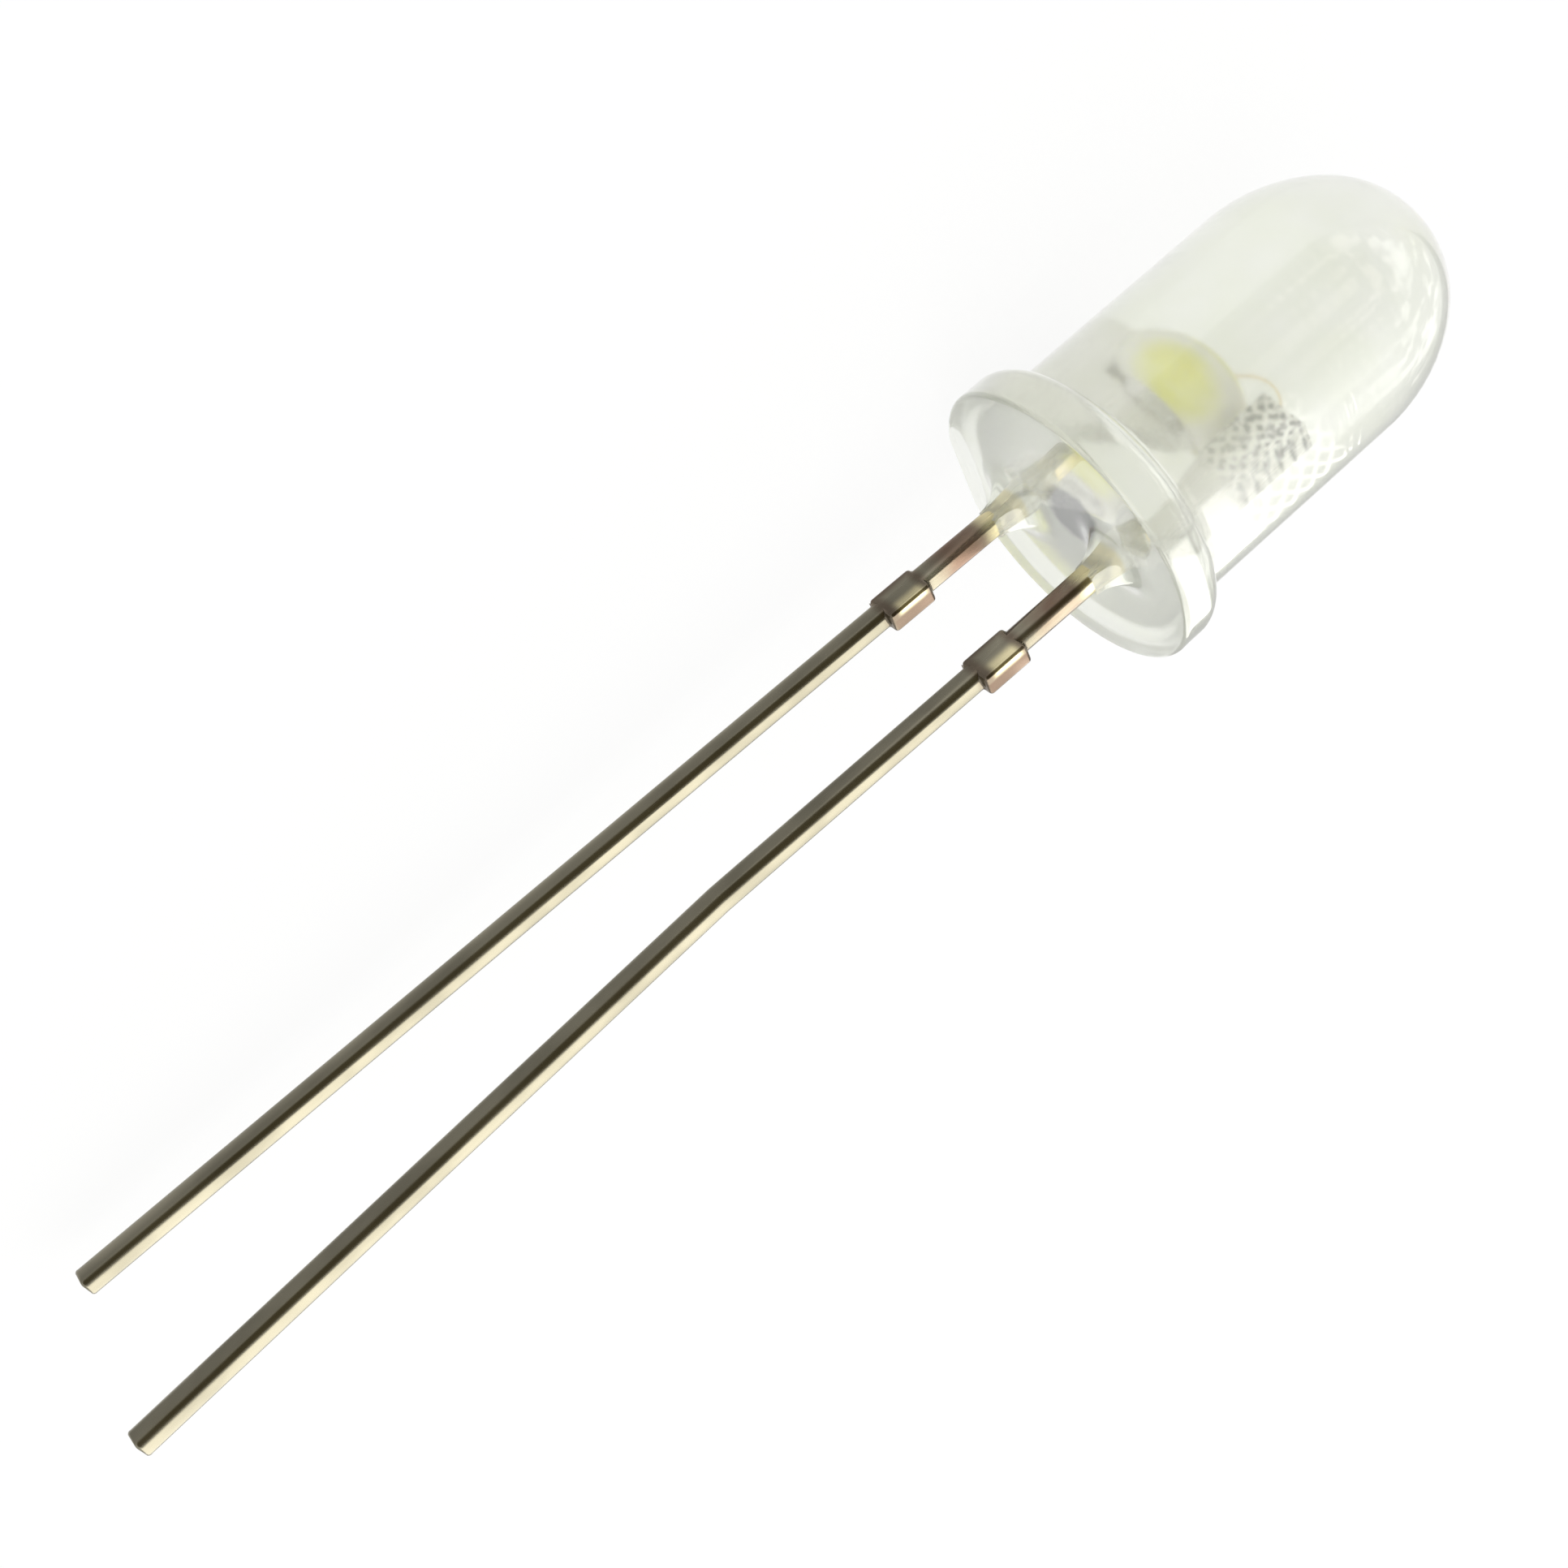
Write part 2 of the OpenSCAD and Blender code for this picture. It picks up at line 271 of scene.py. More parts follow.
def principled(tree, output, inputs):
    """Ends a material's tree in a Principled shader with these inputs."""
    shader = add(tree, "ShaderNodeBsdfPrincipled", inputs)
    tree.links.new(shader.outputs[0], output.inputs["Surface"])


def mirror_rays(tree, rays):
    """1 for the rays that a surface mirrors, 0 for those that it bends and for all others."""
    return maths(tree, "SUBTRACT", rays["Is Glossy Ray"], rays["Is Transmission Ray"], True)


# ---------------------------------------------------------------- materials

# Grey of the painted shade on the lens's bottom between the legs.
PAINTED_SHADE_GREY = (0.14, 0.14, 0.165)
PALE_TAN_RESIN = (0.99, 0.975, 0.85)
SAPPHIRE = ((0.42, 0.56, 0.62), (0.5, 0.66, 0.7))
PASTE = ((0.74, 0.74, 0.72), (0.84, 0.84, 0.82))
EPOXY_IOR = 1.52
SAPPHIRE_IOR = 1.77


def painted_shade_patch(tree, place, bottom):
    """Mask of a patch of painted shade with a ragged outline that lies between the legs on the bottom of the
    flange: the shaded lead frame as seen through the bottom.
    """
    middle = Vector((bottom, 0.5 * MM, AXIS_HEIGHT + 0.4 * MM))
    ragged = times(tree, grain(tree, 2500, 2), 0.3 * MM)
    away = maths(tree, "ADD", distance(tree, place, middle), ragged)
    return span(tree, away, 0.68 * MM, 0.95 * MM, to_low=0.9, to_high=0.0)


def mould_rings(tree, along, bottom):
    """Faint uneven rings round the upper part of the lens, from the turning of its mould."""
    ring_pitch = 0.24 * MM
    uneven = times(tree, grain(tree, 600, 2), 0.5 * MM)
    wave = maths(tree, "SINE", times(tree, maths(tree, "ADD", along, uneven), 2 * math.pi / ring_pitch))
    upper_part = band(tree, along, bottom + 4.4 * MM, bottom + 7.4 * MM, 0.4 * MM)
    return times(tree, wave, upper_part, span(tree, grain(tree, 1100, 2), 0.4, 0.6, to_high=0.22))


def clear_epoxy():
    """Cast epoxy: clear, faintly tinted, with a grey patch of painted shade on its bottom, and wavy from its
    mould. Lamps' light passes to what is inside.
    """
    tint = bpy.context.scene.led_finish.epoxy
    material, tree, output = new_material("clear_epoxy")
    bottom = flange_bottom()
    place = object_place(tree)
    cloud = span(tree, grain(tree, 900, 2), 0.3, 0.7)
    shade = blend_colours(tree, cloud, tint, scaled(tint, 0.96, 0.97, 0.92))
    # Painted shade: a grey patch between the legs on the bottom, for the shaded lead frame seen through it.
    shade = blend_colours(tree, painted_shade_patch(tree, place, bottom), shade, PAINTED_SHADE_GREY)
    rings = mould_rings(tree, parts_of(tree, place)["X"], bottom)
    waves = relief(tree, maths(tree, "ADD", grain(tree, 700, 2), rings), strength=0.12, distance=0.02 * MM)
    shader = add(
        tree,
        "ShaderNodeBsdfPrincipled",
        {
            "Base Color": shade,
            "Roughness": 0.2,
            "IOR": EPOXY_IOR,
            "Transmission Weight": 0.78,
            "Coat Weight": 1.0,
            "Coat Roughness": 0.03,
            "Coat IOR": EPOXY_IOR,
            "Normal": waves,
            "Coat Normal": waves,
        },
    )
    through = add(tree, "ShaderNodeBsdfTransparent", {"Color": (*tint, 1.0)})
    to_lamp = add(tree, "ShaderNodeLightPath").outputs["Is Shadow Ray"]
    mix = add(tree, "ShaderNodeMixShader", {0: to_lamp, 1: shader.outputs[0], 2: through.outputs[0]})
    tree.links.new(mix.outputs[0], output.inputs["Surface"])
    return material


def across_leg(tree, place):
    """Place across the nearer leg, from its middle, in the plane of the sheet and towards the anode side."""
    from_axis = maths(tree, "SUBTRACT", place["Z"], AXIS_HEIGHT)
    return maths(tree, "SUBTRACT", maths(tree, "FLOORED_MODULO", from_axis, PITCH), PITCH / 2)


def stub_painted_light(tree, place, flange, mottle):
    """Two masks of painted light on the stubs: brown painted shade on the cathode side, on the back of the
    anode side and at the stub's ends, and a painted highlight near the front edge on the anode side.
    """
    soft = 0.1 * MM
    top, end = flange - 2.25 * MM, flange - 3.3 * MM
    across = maths(tree, "ADD", across_leg(tree, place), times(tree, mottle, 0.04 * MM))
    stub = band(tree, place["X"], end, top, soft)
    middle = band(tree, place["X"], end + 0.25 * MM, top - 0.2 * MM, soft)
    far_side = span(tree, across, -0.34 * MM, -0.1 * MM, 1.0, 0.0)
    near_side = span(tree, across, 0.05 * MM, 0.25 * MM)
    back = span(tree, place["Y"], 0.02 * MM, 0.14 * MM, 1.0, 0.0)
    cut = times(tree, back, span(tree, across, 0.24 * MM, 0.36 * MM))
    ends = times(tree, opposite(tree, middle), 0.7)
    # Painted brown shade on the stub's sides and ends.
    painted_stub_shade = times(tree, stub, either(tree, far_side, cut, ends))
    # Painted highlight near the front edge on the anode side.
    painted_stub_highlight = times(tree, middle, opposite(tree, either(tree, far_side, back)), near_side)
    return painted_stub_shade, painted_stub_highlight


def painted_lattice_marks(tree, place, flange):
    """Mask of painted dark crossed marks and dots on the head of the anode post: a painted reflection of a
    lattice.
    """
    mark_pitch = 0.3 * MM
    wobble = times(tree, grain(tree, 3000, 2), 0.25 * MM)
    marks = []
    for operation in ("ADD", "SUBTRACT"):
        slant = maths(tree, operation, place["X"], maths(tree, "ADD", place["Z"], wobble))
        wave = maths(tree, "SINE", times(tree, slant, 2 * math.pi / mark_pitch))
        marks.append(span(tree, wave, -0.5, 0.5))
    speckle_dots = span(tree, grain(tree, 5000, 3), 0.5, 0.66)
    head = span(tree, place["X"], flange + 2.0 * MM, flange + 2.4 * MM)
    denser_at_top = span(tree, place["X"], flange + 2.6 * MM, flange + 3.6 * MM, to_low=0.55)
    anode_side = span(tree, place["Z"], AXIS_HEIGHT + 0.45 * MM, AXIS_HEIGHT + 0.6 * MM)
    return times(tree, either(tree, times(tree, *marks), speckle_dots), head, denser_at_top, anode_side)


def plated_steel():
    """Plated steel: mottled tin on the legs, drawn lengthwise, with brown painted shade below the flange and
    painted shade and a painted highlight on the stubs, and silver inside, with a painted reflection of a
    lattice on the anode post's head.
    """
    finish = bpy.context.scene.led_finish
    material, tree, output = new_material("plated_steel")
    flange = flange_bottom()
    place = parts_of(tree, object_place(tree))
    drawn = grain(tree, 6000, 3, stretch=(0.06, 1, 1))
    mottle = grain(tree, 1500, 3, stretch=(0.5, 1, 1))
    leg = blend_colours(tree, span(tree, mottle, 0.35, 0.7), finish.plating, scaled(finish.plating, 0.8))
    # Painted shade: a brown band on the legs below the flange.
    painted_flange_shade = band(tree, place["X"], flange - 1.9 * MM, flange - 0.85 * MM, 0.35 * MM)
    painted_flange_shade = times(tree, painted_flange_shade, span(tree, mottle, 0.25, 0.6, to_low=0.35))
    leg = blend_colours(tree, painted_flange_shade, leg, finish.painted_brown_shade)
    under_meniscus = span(tree, place["X"], flange - 1.0 * MM, flange - 0.6 * MM)
    leg = blend_colours(tree, under_meniscus, leg, finish.wetted_and_highlight)
    painted_stub_shade, painted_stub_highlight = stub_painted_light(tree, place, flange, mottle)
    # Painted highlight on the stubs, in the wetted plating's colour.
    leg = blend_colours(tree, painted_stub_highlight, leg, finish.wetted_and_highlight)
    # Painted brown shade on the stubs.
    leg = blend_colours(tree, times(tree, painted_stub_shade, 0.9), leg, scaled(finish.painted_brown_shade, 0.7))
    # Painted reflection: dark crossed marks and dots on the post's head give the look of a reflected lattice.
    painted_lattice_dark = times(tree, painted_lattice_marks(tree, place, flange), 0.95)
    inner = blend_colours(tree, painted_lattice_dark, finish.silver, scaled(finish.silver, 0.16))
    cast_in = span(tree, place["X"], flange, flange + 0.2 * MM)
    inputs = {
        "Base Color": blend_colours(tree, cast_in, leg, inner),
        "Metallic": 1.0,
        "Roughness": span(tree, drawn, 0.25, 0.75, 0.2, 0.32),
        "Normal": relief(tree, drawn, strength=0.12, distance=0.004 * MM),
    }
    principled(tree, output, inputs)
    return material


def from_yellow_spots(tree):
    """Distance from the nearest of the three spots where the resin is most yellow, on two sides and on top.
    """
    low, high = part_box("phosphor_fill")
    axis = (low.z + high.z) / 2
    waist = (low.x + high.x) / 2 - 0.26 * MM
    out, tilt = 0.62 * MM, 0.28 * MM
    spots = ((waist, out, axis + tilt), (waist, -out, axis - tilt), (high.x + 0.1 * MM, 0, axis))
    place = object_place(tree)
    nearest = 1.0
    for spot in spots:
        nearest = maths(tree, "MINIMUM", nearest, distance(tree, place, spot))
    return nearest


def phosphor_resin():
    """Yellow phosphor powder in resin: dull, grainy, slightly translucent, with a faint painted glow that
    brightens it.
    """
    tint = bpy.context.scene.led_finish.phosphor
    material, tree, output = new_material("phosphor_resin")
    speck = grain(tree, 25000, 4)
    settle = grain(tree, 1800, 2)
    away = maths(tree, "ADD", from_yellow_spots(tree), times(tree, settle, 0.15 * MM))
    pale_tan_part = span(tree, away, 0.42 * MM, 0.85 * MM)
    settled = span(tree, settle, 0.4, 0.75, to_high=0.4)
    shade = blend_colours(tree, span(tree, speck, 0.35, 0.7), tint, scaled(tint, 0.9, 0.9, 1.3))
    shade = blend_colours(tree, settled, shade, scaled(tint, 1.03, 1.05, 2.6))
    # Pale tan away from the three yellow spots.
    shade = blend_colours(tree, pale_tan_part, shade, PALE_TAN_RESIN)
    inputs = {
        "Base Color": shade,
        "Roughness": 0.55,
        "Subsurface Weight": 0.25,
        "Subsurface Radius": (0.2 * MM, 0.17 * MM, 0.05 * MM),
        "Subsurface Scale": 1.0,
        # Painted light: a faint glow in the resin's own colour that brightens it under any lamp.
        "Emission Color": shade,
        "Emission Strength": 0.08,
        "Normal": relief(tree, speck, strength=0.3, distance=0.01 * MM),
    }
    principled(tree, output, inputs)
    return material


def bond_gold():
    """Fine gold wire."""
    tint = bpy.context.scene.led_finish.gold
    material, tree, output = new_material("bond_gold")
    shade = blend_colours(tree, span(tree, grain(tree, 20000, 2), 0.3, 0.7), tint, scaled(tint, 0.9))
    principled(tree, output, {"Base Color": shade, "Metallic": 1.0, "Roughness": 0.18})
    return material


def crystal():
    """Blue emitting die: sapphire with a slight mottle of its own colour."""
    material, tree, output = new_material("crystal")
    shade = blend_colours(tree, span(tree, grain(tree, 9000, 2), 0.3, 0.7), *SAPPHIRE)
    principled(tree, output, {"Base Color": shade, "Roughness": 0.12, "IOR": SAPPHIRE_IOR})
    return material


def die_paste():
    """Pale paste that holds the die."""
    material, tree, output = new_material("die_paste")
    shade = blend_colours(tree, span(tree, grain(tree, 20000, 3), 0.3, 0.7), *PASTE)
    principled(tree, output, {"Base Color": shade, "Roughness": 0.5})
    return material


# ---------------------------------------------------------------- geometry nodes


def node_tree(name, inputs):
    """A geometry tree with a geometry input and output and the named inputs. Returns the tree, its input
    node and the identifier of each input."""
    tree = bpy.data.node_groups.new(name, "GeometryNodeTree")
    tree.is_modifier = True
    tree.interface.new_socket("Geometry", in_out="INPUT", socket_type="NodeSocketGeometry")
    identifiers = {}
    for label, kind in inputs:
        identifiers[label] = tree.interface.new_socket(label, in_out="INPUT", socket_type=kind).identifier
    tree.interface.new_socket("Geometry", in_out="OUTPUT", socket_type="NodeSocketGeometry")
    return tree, tree.nodes.new("NodeGroupInput"), identifiers


def close_tree(tree, source, made):
    """Ends the tree: real geometry, smooth faces, the material, and the output."""
    real = add(tree, "GeometryNodeRealizeInstances", {0: made})
    smooth = add(tree, "GeometryNodeSetShadeSmooth", {0: real.outputs[0]})
    paint = source.outputs["Material"]
    painted = add(tree, "GeometryNodeSetMaterial", {"Geometry": smooth.outputs[0], "Material": paint})
    output = tree.nodes.new("NodeGroupOutput")
    tree.links.new(painted.outputs[0], output.inputs[0])


def turning_tree():
    """Turns a profile round an axis that runs along X at a height, and closes the seam and the poles. The
    profile's points, in order, hold the place along the axis in X and the radius in Z. A flat, if any, is a
    lowest height."""
    tree, source, identifiers = node_tree(
        "Turned Piece",
        [
            ("Segments", "NodeSocketInt"),
            ("Axis Height", "NodeSocketFloat"),
            ("Flat Height", "NodeSocketFloat"),
            ("Material", "NodeSocketMaterial"),
        ],
    )
    profile = source.outputs["Geometry"]
    count = add(tree, "GeometryNodeAttributeDomainSize", {0: profile}).outputs["Point Count"]
    columns = maths(tree, "ADD", source.outputs["Segments"], 1.0)
    size = {"Size X": 1.0, "Size Y": 1.0, "Vertices X": columns, "Vertices Y": count}
    grid = add(tree, "GeometryNodeMeshGrid", size)
    position = add(tree, "GeometryNodeInputPosition").outputs[0]
    spot = parts_of(tree, position)
    row = times(tree, maths(tree, "ADD", spot["Y"], 0.5), maths(tree, "SUBTRACT", count, 1.0))
    sample = add(
        tree,
        "GeometryNodeSampleIndex",
        {0: profile, "Value": position, "Index": maths(tree, "ROUND", row)},
        data_type="FLOAT_VECTOR",
        domain="POINT",
    )
    turn = times(tree, maths(tree, "ADD", spot["X"], 0.5), 2 * math.pi)
    turned = add(
        tree, "ShaderNodeVectorRotate", {"Vector": sample.outputs[0], "Angle": turn}, rotation_type="X_AXIS"
    ).outputs[0]
    parts = parts_of(tree, turned)
    height = maths(tree, "ADD", parts["Z"], source.outputs["Axis Height"])
    height = maths(tree, "MAXIMUM", height, source.outputs["Flat Height"])
    place = add(tree, "ShaderNodeCombineXYZ", {0: parts["X"], 1: parts["Y"], 2: height})
    moved = add(tree, "GeometryNodeSetPosition", {"Geometry": grid.outputs[0], "Position": place.outputs[0]})
    merge = {"Geometry": moved.outputs[0], "Distance": SEAM}
    close_tree(tree, source, add(tree, "GeometryNodeMergeByDistance", merge).outputs[0])
    return tree, identifiers


def wire_tree():
    """A bond wire: a loop that leaves its ball straight up and lands on a flattened stitch."""
    tree, source, identifiers = node_tree(
        "Bond Wire",
        [
            ("Start", "NodeSocketVector"),
            ("Start Handle", "NodeSocketVector"),
            ("End Handle", "NodeSocketVector"),
            ("End", "NodeSocketVector"),
            ("Wire Radius", "NodeSocketFloat"),
            ("Ball Radius", "NodeSocketFloat"),
            ("Material", "NodeSocketMaterial"),
        ],
    )
    loop = add(
        tree,
        "GeometryNodeCurvePrimitiveBezierSegment",
        {
            "Resolution": 40,
            "Start": source.outputs["Start"],
            "Start Handle": source.outputs["Start Handle"],
            "End Handle": source.outputs["End Handle"],
            "End": source.outputs["End"],
        },
        mode="POSITION",
    )
    round_wire = {"Resolution": 16, "Radius": source.outputs["Wire Radius"]}
    section = add(tree, "GeometryNodeCurvePrimitiveCircle", round_wire)
    wire = add(
        tree,
        "GeometryNodeCurveToMesh",
        {"Curve": loop.outputs[0], "Profile Curve": section.outputs[0], "Fill Caps": True},
    )
    pieces = [wire.outputs[0]]
    for spot, squash in (("Start", 0.5), ("End", 0.3)):
        round_ball = {"Segments": 24, "Rings": 12, "Radius": source.outputs["Ball Radius"]}
        ball = add(tree, "GeometryNodeMeshUVSphere", round_ball)
        put = add(
            tree,
            "GeometryNodeTransform",
            {"Geometry": ball.outputs[0], "Translation": source.outputs[spot], "Scale": (squash, 1, 1)},
        )
        pieces.append(put.outputs[0])
    joined = tree.nodes.new("GeometryNodeJoinGeometry")
    for piece in pieces:
        tree.links.new(piece, joined.inputs[0])
    close_tree(tree, source, joined.outputs[0])
    return tree, identifiers


def plain_object(name, mesh):
    """Puts a mesh in the scene as an object at the origin."""
    piece = bpy.data.objects.new(name, mesh)
    bpy.context.scene.collection.objects.link(piece)
    return piece


def grow(name, seed_mesh, tree, identifiers, values):
    """Runs a tree on a mesh with the given input values and keeps the result as a plain mesh."""
    seed = plain_object(name + "_seed", seed_mesh)
    modifier = seed.modifiers.new("Make", "NODES")
    modifier.node_group = tree
    for label, value in values.items():
        modifier[identifiers[label]] = value
    seed.update_tag()
    graph = bpy.context.evaluated_depsgraph_get()
    graph.update()
    mesh = bpy.data.meshes.new_from_object(seed.evaluated_get(graph))
    mesh.name = name
    bpy.data.objects.remove(seed)
    return mesh


def turned_piece(name, profile, axis_height, material, segments, flat_height=NO_FLAT):
    """Mesh of a profile, a list of (place along the axis, radius), turned round an axis at a height."""
    seed = bpy.data.meshes.new(name + "_profile")
    seed.from_pydata([(x, 0, r) for x, r in profile], [(i, i + 1) for i in range(len(profile) - 1)], [])
    tree, identifiers = turning_tree()
    values = {
        "Segments": segments,
        "Axis Height": axis_height,
        "Flat Height": flat_height,
        "Material": material,
    }
    return grow(name, seed, tree, identifiers, values)


# ---------------------------------------------------------------- mesh helpers


def arc(centre, radius, start, end, steps):
    """Points on an arc in the plane of (place along the axis, radius), angles in degrees from the axis."""
    points = []
    for i in range(steps + 1):
        angle = math.radians(start + (end - start) * i / steps)
        points.append((centre[0] + radius * math.cos(angle), centre[1] + radius * math.sin(angle)))
    return points


def line(first, last, steps):
    """Points from first to last, both included."""
    return [
        (first[0] + (last[0] - first[0]) * i / steps, first[1] + (last[1] - first[1]) * i / steps)
        for i in range(steps + 1)
    ]


def tidy_profile(points):
    """Leaves out points that repeat the one before."""
    kept = [points[0]]
    for point in points[1:]:
        if math.dist(point, kept[-1]) > REPEAT:
            kept.append(point)
    return kept


def finish_mesh(mesh, sharp_degrees, merge=SAME_PLACE):
    """Merges doubles, points the faces outwards, shades them smooth and keeps real edges sharp."""
    shape = bmesh.new()
    shape.from_mesh(mesh)
    bmesh.ops.remove_doubles(shape, verts=shape.verts, dist=merge)
    bmesh.ops.recalc_face_normals(shape, faces=shape.faces)
    for face in shape.faces:
        face.smooth = True
    limit = math.radians(sharp_degrees)
    for edge in shape.edges:
        if len(edge.link_faces) == 2:
            edge.smooth = edge.calc_face_angle(0) < limit
    shape.to_mesh(mesh)
    shape.free()
    return mesh


def show(piece, node):
    """A finished piece: it moves with the lamp and stands for its CAD node."""
    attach(piece, "root")
    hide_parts(node)


# ---------------------------------------------------------------- lens


def lens_profile(sizes, bottom, rim):
    """Profile of the lens from the tip of the dome to the rim of the dish in its bottom."""
    tip = bottom + sizes.height
    dome_centre = tip - sizes.dome
    reach = sizes.shoulder - sizes.dome
    shoulder_radius_place = sizes.barrel - sizes.shoulder
    shoulder_centre = dome_centre - math.sqrt(reach**2 - shoulder_radius_place**2)
    meet = math.degrees(math.atan2(-shoulder_radius_place, dome_centre - shoulder_centre))
    flange_top = bottom + sizes.flange_height
    root, top, low = sizes.root, sizes.top_edge, sizes.bottom_edge
    lap = max(0, sizes.barrel + root - sizes.flange + top)
    above_edge = math.sqrt((top + root) ** 2 - lap**2)
    lean = math.degrees(math.atan2(lap, above_edge))
    root_centre = flange_top - top + above_edge
    points = arc((dome_centre, 0), sizes.dome, 0, meet, steps=48)
    points += arc((shoulder_centre, shoulder_radius_place), sizes.shoulder, meet, 90, steps=24)
    points += line((shoulder_centre, sizes.barrel), (root_centre, sizes.barrel), steps=30)
    points += arc((root_centre, sizes.barrel + root), root, 270, 180 + lean, steps=7)
    points += arc((flange_top - top, sizes.flange - top), top, lean, 90, steps=14)
    points += line((flange_top - top, sizes.flange), (bottom + low, sizes.flange), steps=6)
    points += arc((bottom + low, sizes.flange - low), low, 90, 180, steps=7)
    points += line((bottom, sizes.flange - low), (bottom, rim), steps=3)
    return tidy_profile(points)


def leg_gap(x, y, centre_x, half):
    """Distance from a square leg's side, zero inside it."""
    return math.hypot(max(abs(x - centre_x) - half, 0), max(abs(y) - half, 0))


def rings_round_leg(centre, half, climb):
    """Points of the bottom round one leg, in rings that are closest where the epoxy is steepest."""
    points = []
    shares = (0, 0.012, 0.03, 0.055, 0.09, 0.14, 0.2, 0.28, 0.38, 0.5, 0.65, 0.82, 1.0)
    side_steps, corner_steps = 8, 8
    for gap in (share * climb for share in shares):
        for side in range(4):
            turn = side * math.pi / 2
            cos, sin = math.cos(turn), math.sin(turn)
            for i in range(side_steps):
                u, v = half + gap, -half + 2 * half * i / side_steps
                points.append((centre + u * cos - v * sin, u * sin + v * cos))
            corner_x, corner_y = half * cos - half * sin, half * sin + half * cos
            for i in range(corner_steps if gap > 0 else 1):
                angle = turn + math.pi / 2 * i / corner_steps
                points.append((centre + corner_x + gap * math.cos(angle), corner_y + gap * math.sin(angle)))
    steps = (-0.5, 0, 0.5)
    return points + [(centre + i * half, j * half) for i in steps for j in steps]


def even_field(rim, half, climb):
    """Points of the bottom in even rows, clear of its rim and of the legs."""
    pitch = 0.11 * MM
    row_pitch = pitch * math.sqrt(3) / 2
    rows = int(rim / row_pitch) + 1
    points = []
    for j in range(-rows, rows + 1):
        y = j * row_pitch
        for i in range(-rows * 2, rows * 2 + 1):
            x = (i + 0.5 * (j % 2)) * pitch
            clear = min(leg_gap(x, y, c, half) for c in LEG_PLACES) - climb
            if math.hypot(x, y) < rim - 0.6 * pitch and clear > 0.5 * pitch:
                points.append((x, y))
    return points


def lens_bottom(sizes, bottom, rim, segments, climb, half):
    """Mesh data of the bottom: a shallow dish from which the epoxy climbs down each leg."""
    points = []
    for i in range(segments):
        angle = 2 * math.pi * i / segments
        points.append((rim * math.cos(angle), rim * math.sin(angle)))
    for centre in LEG_PLACES:
        points += rings_round_leg(centre, half, climb)
    points += even_field(rim, half, climb)
    flat, _, faces, *_ = geometry.delaunay_2d_cdt([Vector(p) for p in points], [], [], 0, 1e-9)
    bowl = (rim**2 + sizes.dish**2) / (2 * sizes.dish)
    verts = []
    for x, y in flat:
        away = math.hypot(x, y)
        depth = sizes.dish - bowl + math.sqrt(bowl**2 - min(away, rim) ** 2)
        gap = min(leg_gap(x, y, c, half) for c in LEG_PLACES)
        if gap < climb:
            share = 1 - gap / climb
            depth -= climb * (1 - math.sqrt(max(1 - share**2, 0)))
        verts.append((bottom + depth, -y, AXIS_HEIGHT + x))
    return verts, faces


class MESH_OT_led_lens(bpy.types.Operator):
    """Make the clear lens with its flange, flat and the epoxy that climbs down the legs"""

    bl_idname = "mesh.led_lens"
    bl_label = "Lens"

    def execute(self, context):
        sizes = context.scene.led_lens
        material = clear_epoxy()
        bottom = flange_bottom()
        rim = sizes.flange - 2 * sizes.bottom_edge
        segments = 240
        climb = bottom - MENISCUS_TIP
        inside_leg = SHEET / 2 - 0.012 * MM
        profile = lens_profile(sizes, bottom, rim)
        mesh = turned_piece("clear_lens", profile, AXIS_HEIGHT, material, segments, flat_height=0.0)
        verts, faces = lens_bottom(sizes, bottom, rim, segments, climb, inside_leg)
        shape = bmesh.new()
        shape.from_mesh(mesh)
        added = [shape.verts.new(v) for v in verts]
        for face in faces:
            shape.faces.new([added[i] for i in face])
        for face in shape.faces:
            face.material_index = 0
        shape.to_mesh(mesh)
        shape.free()
        mesh.materials.clear()
        mesh.materials.append(material)
        finish_mesh(mesh, sharp_degrees=50)
        piece = plain_object("clear_lens", mesh)
        show(piece, "epoxy_case")
        return {"FINISHED"}


# ---------------------------------------------------------------- lead frame


def frame_half(node, name, material, edge):
    """A copy of one half of the lead frame. Outside the epoxy it has the rolled edges of sheared sheet."""
    corner, long_edge, short_edge_share = math.radians(30), 1.2 * MM, 0.45
    mesh = frame["nodes"][node].data.copy()
    mesh.name = name
    shape = bmesh.new()
    shape.from_mesh(mesh)
    bmesh.ops.remove_doubles(shape, verts=shape.verts, dist=SAME_PLACE)
    bmesh.ops.dissolve_limit(shape, angle_limit=math.radians(1), verts=shape.verts, edges=shape.edges)
    layers = shape.edges.layers.float
    weights = layers.get("bevel_weight_edge") or layers.new("bevel_weight_edge")
    inside = flange_bottom() + 1.0 * MM
    for side in shape.edges:
        a, b = (v.co.x for v in side.verts)
        sharp = len(side.link_faces) == 2 and side.calc_face_angle(0) >= corner
        if sharp and max(a, b) <= inside:
            side[weights] = 1.0 if abs(b - a) > long_edge else short_edge_share
    shape.to_mesh(mesh)
    shape.free()
    mesh.materials.clear()
    mesh.materials.append(material)
    piece = plain_object(name, mesh)
    modifier = piece.modifiers.new("Rolled edges", "BEVEL")
    modifier.limit_method = "WEIGHT"
    modifier.width = edge
    modifier.segments = 4
    modifier.use_clamp_overlap = False
    graph = bpy.context.evaluated_depsgraph_get()
    graph.update()
    made = bpy.data.meshes.new_from_object(piece.evaluated_get(graph))
    piece.modifiers.clear()
    piece.data = finish_mesh(made, sharp_degrees=40)
    return piece


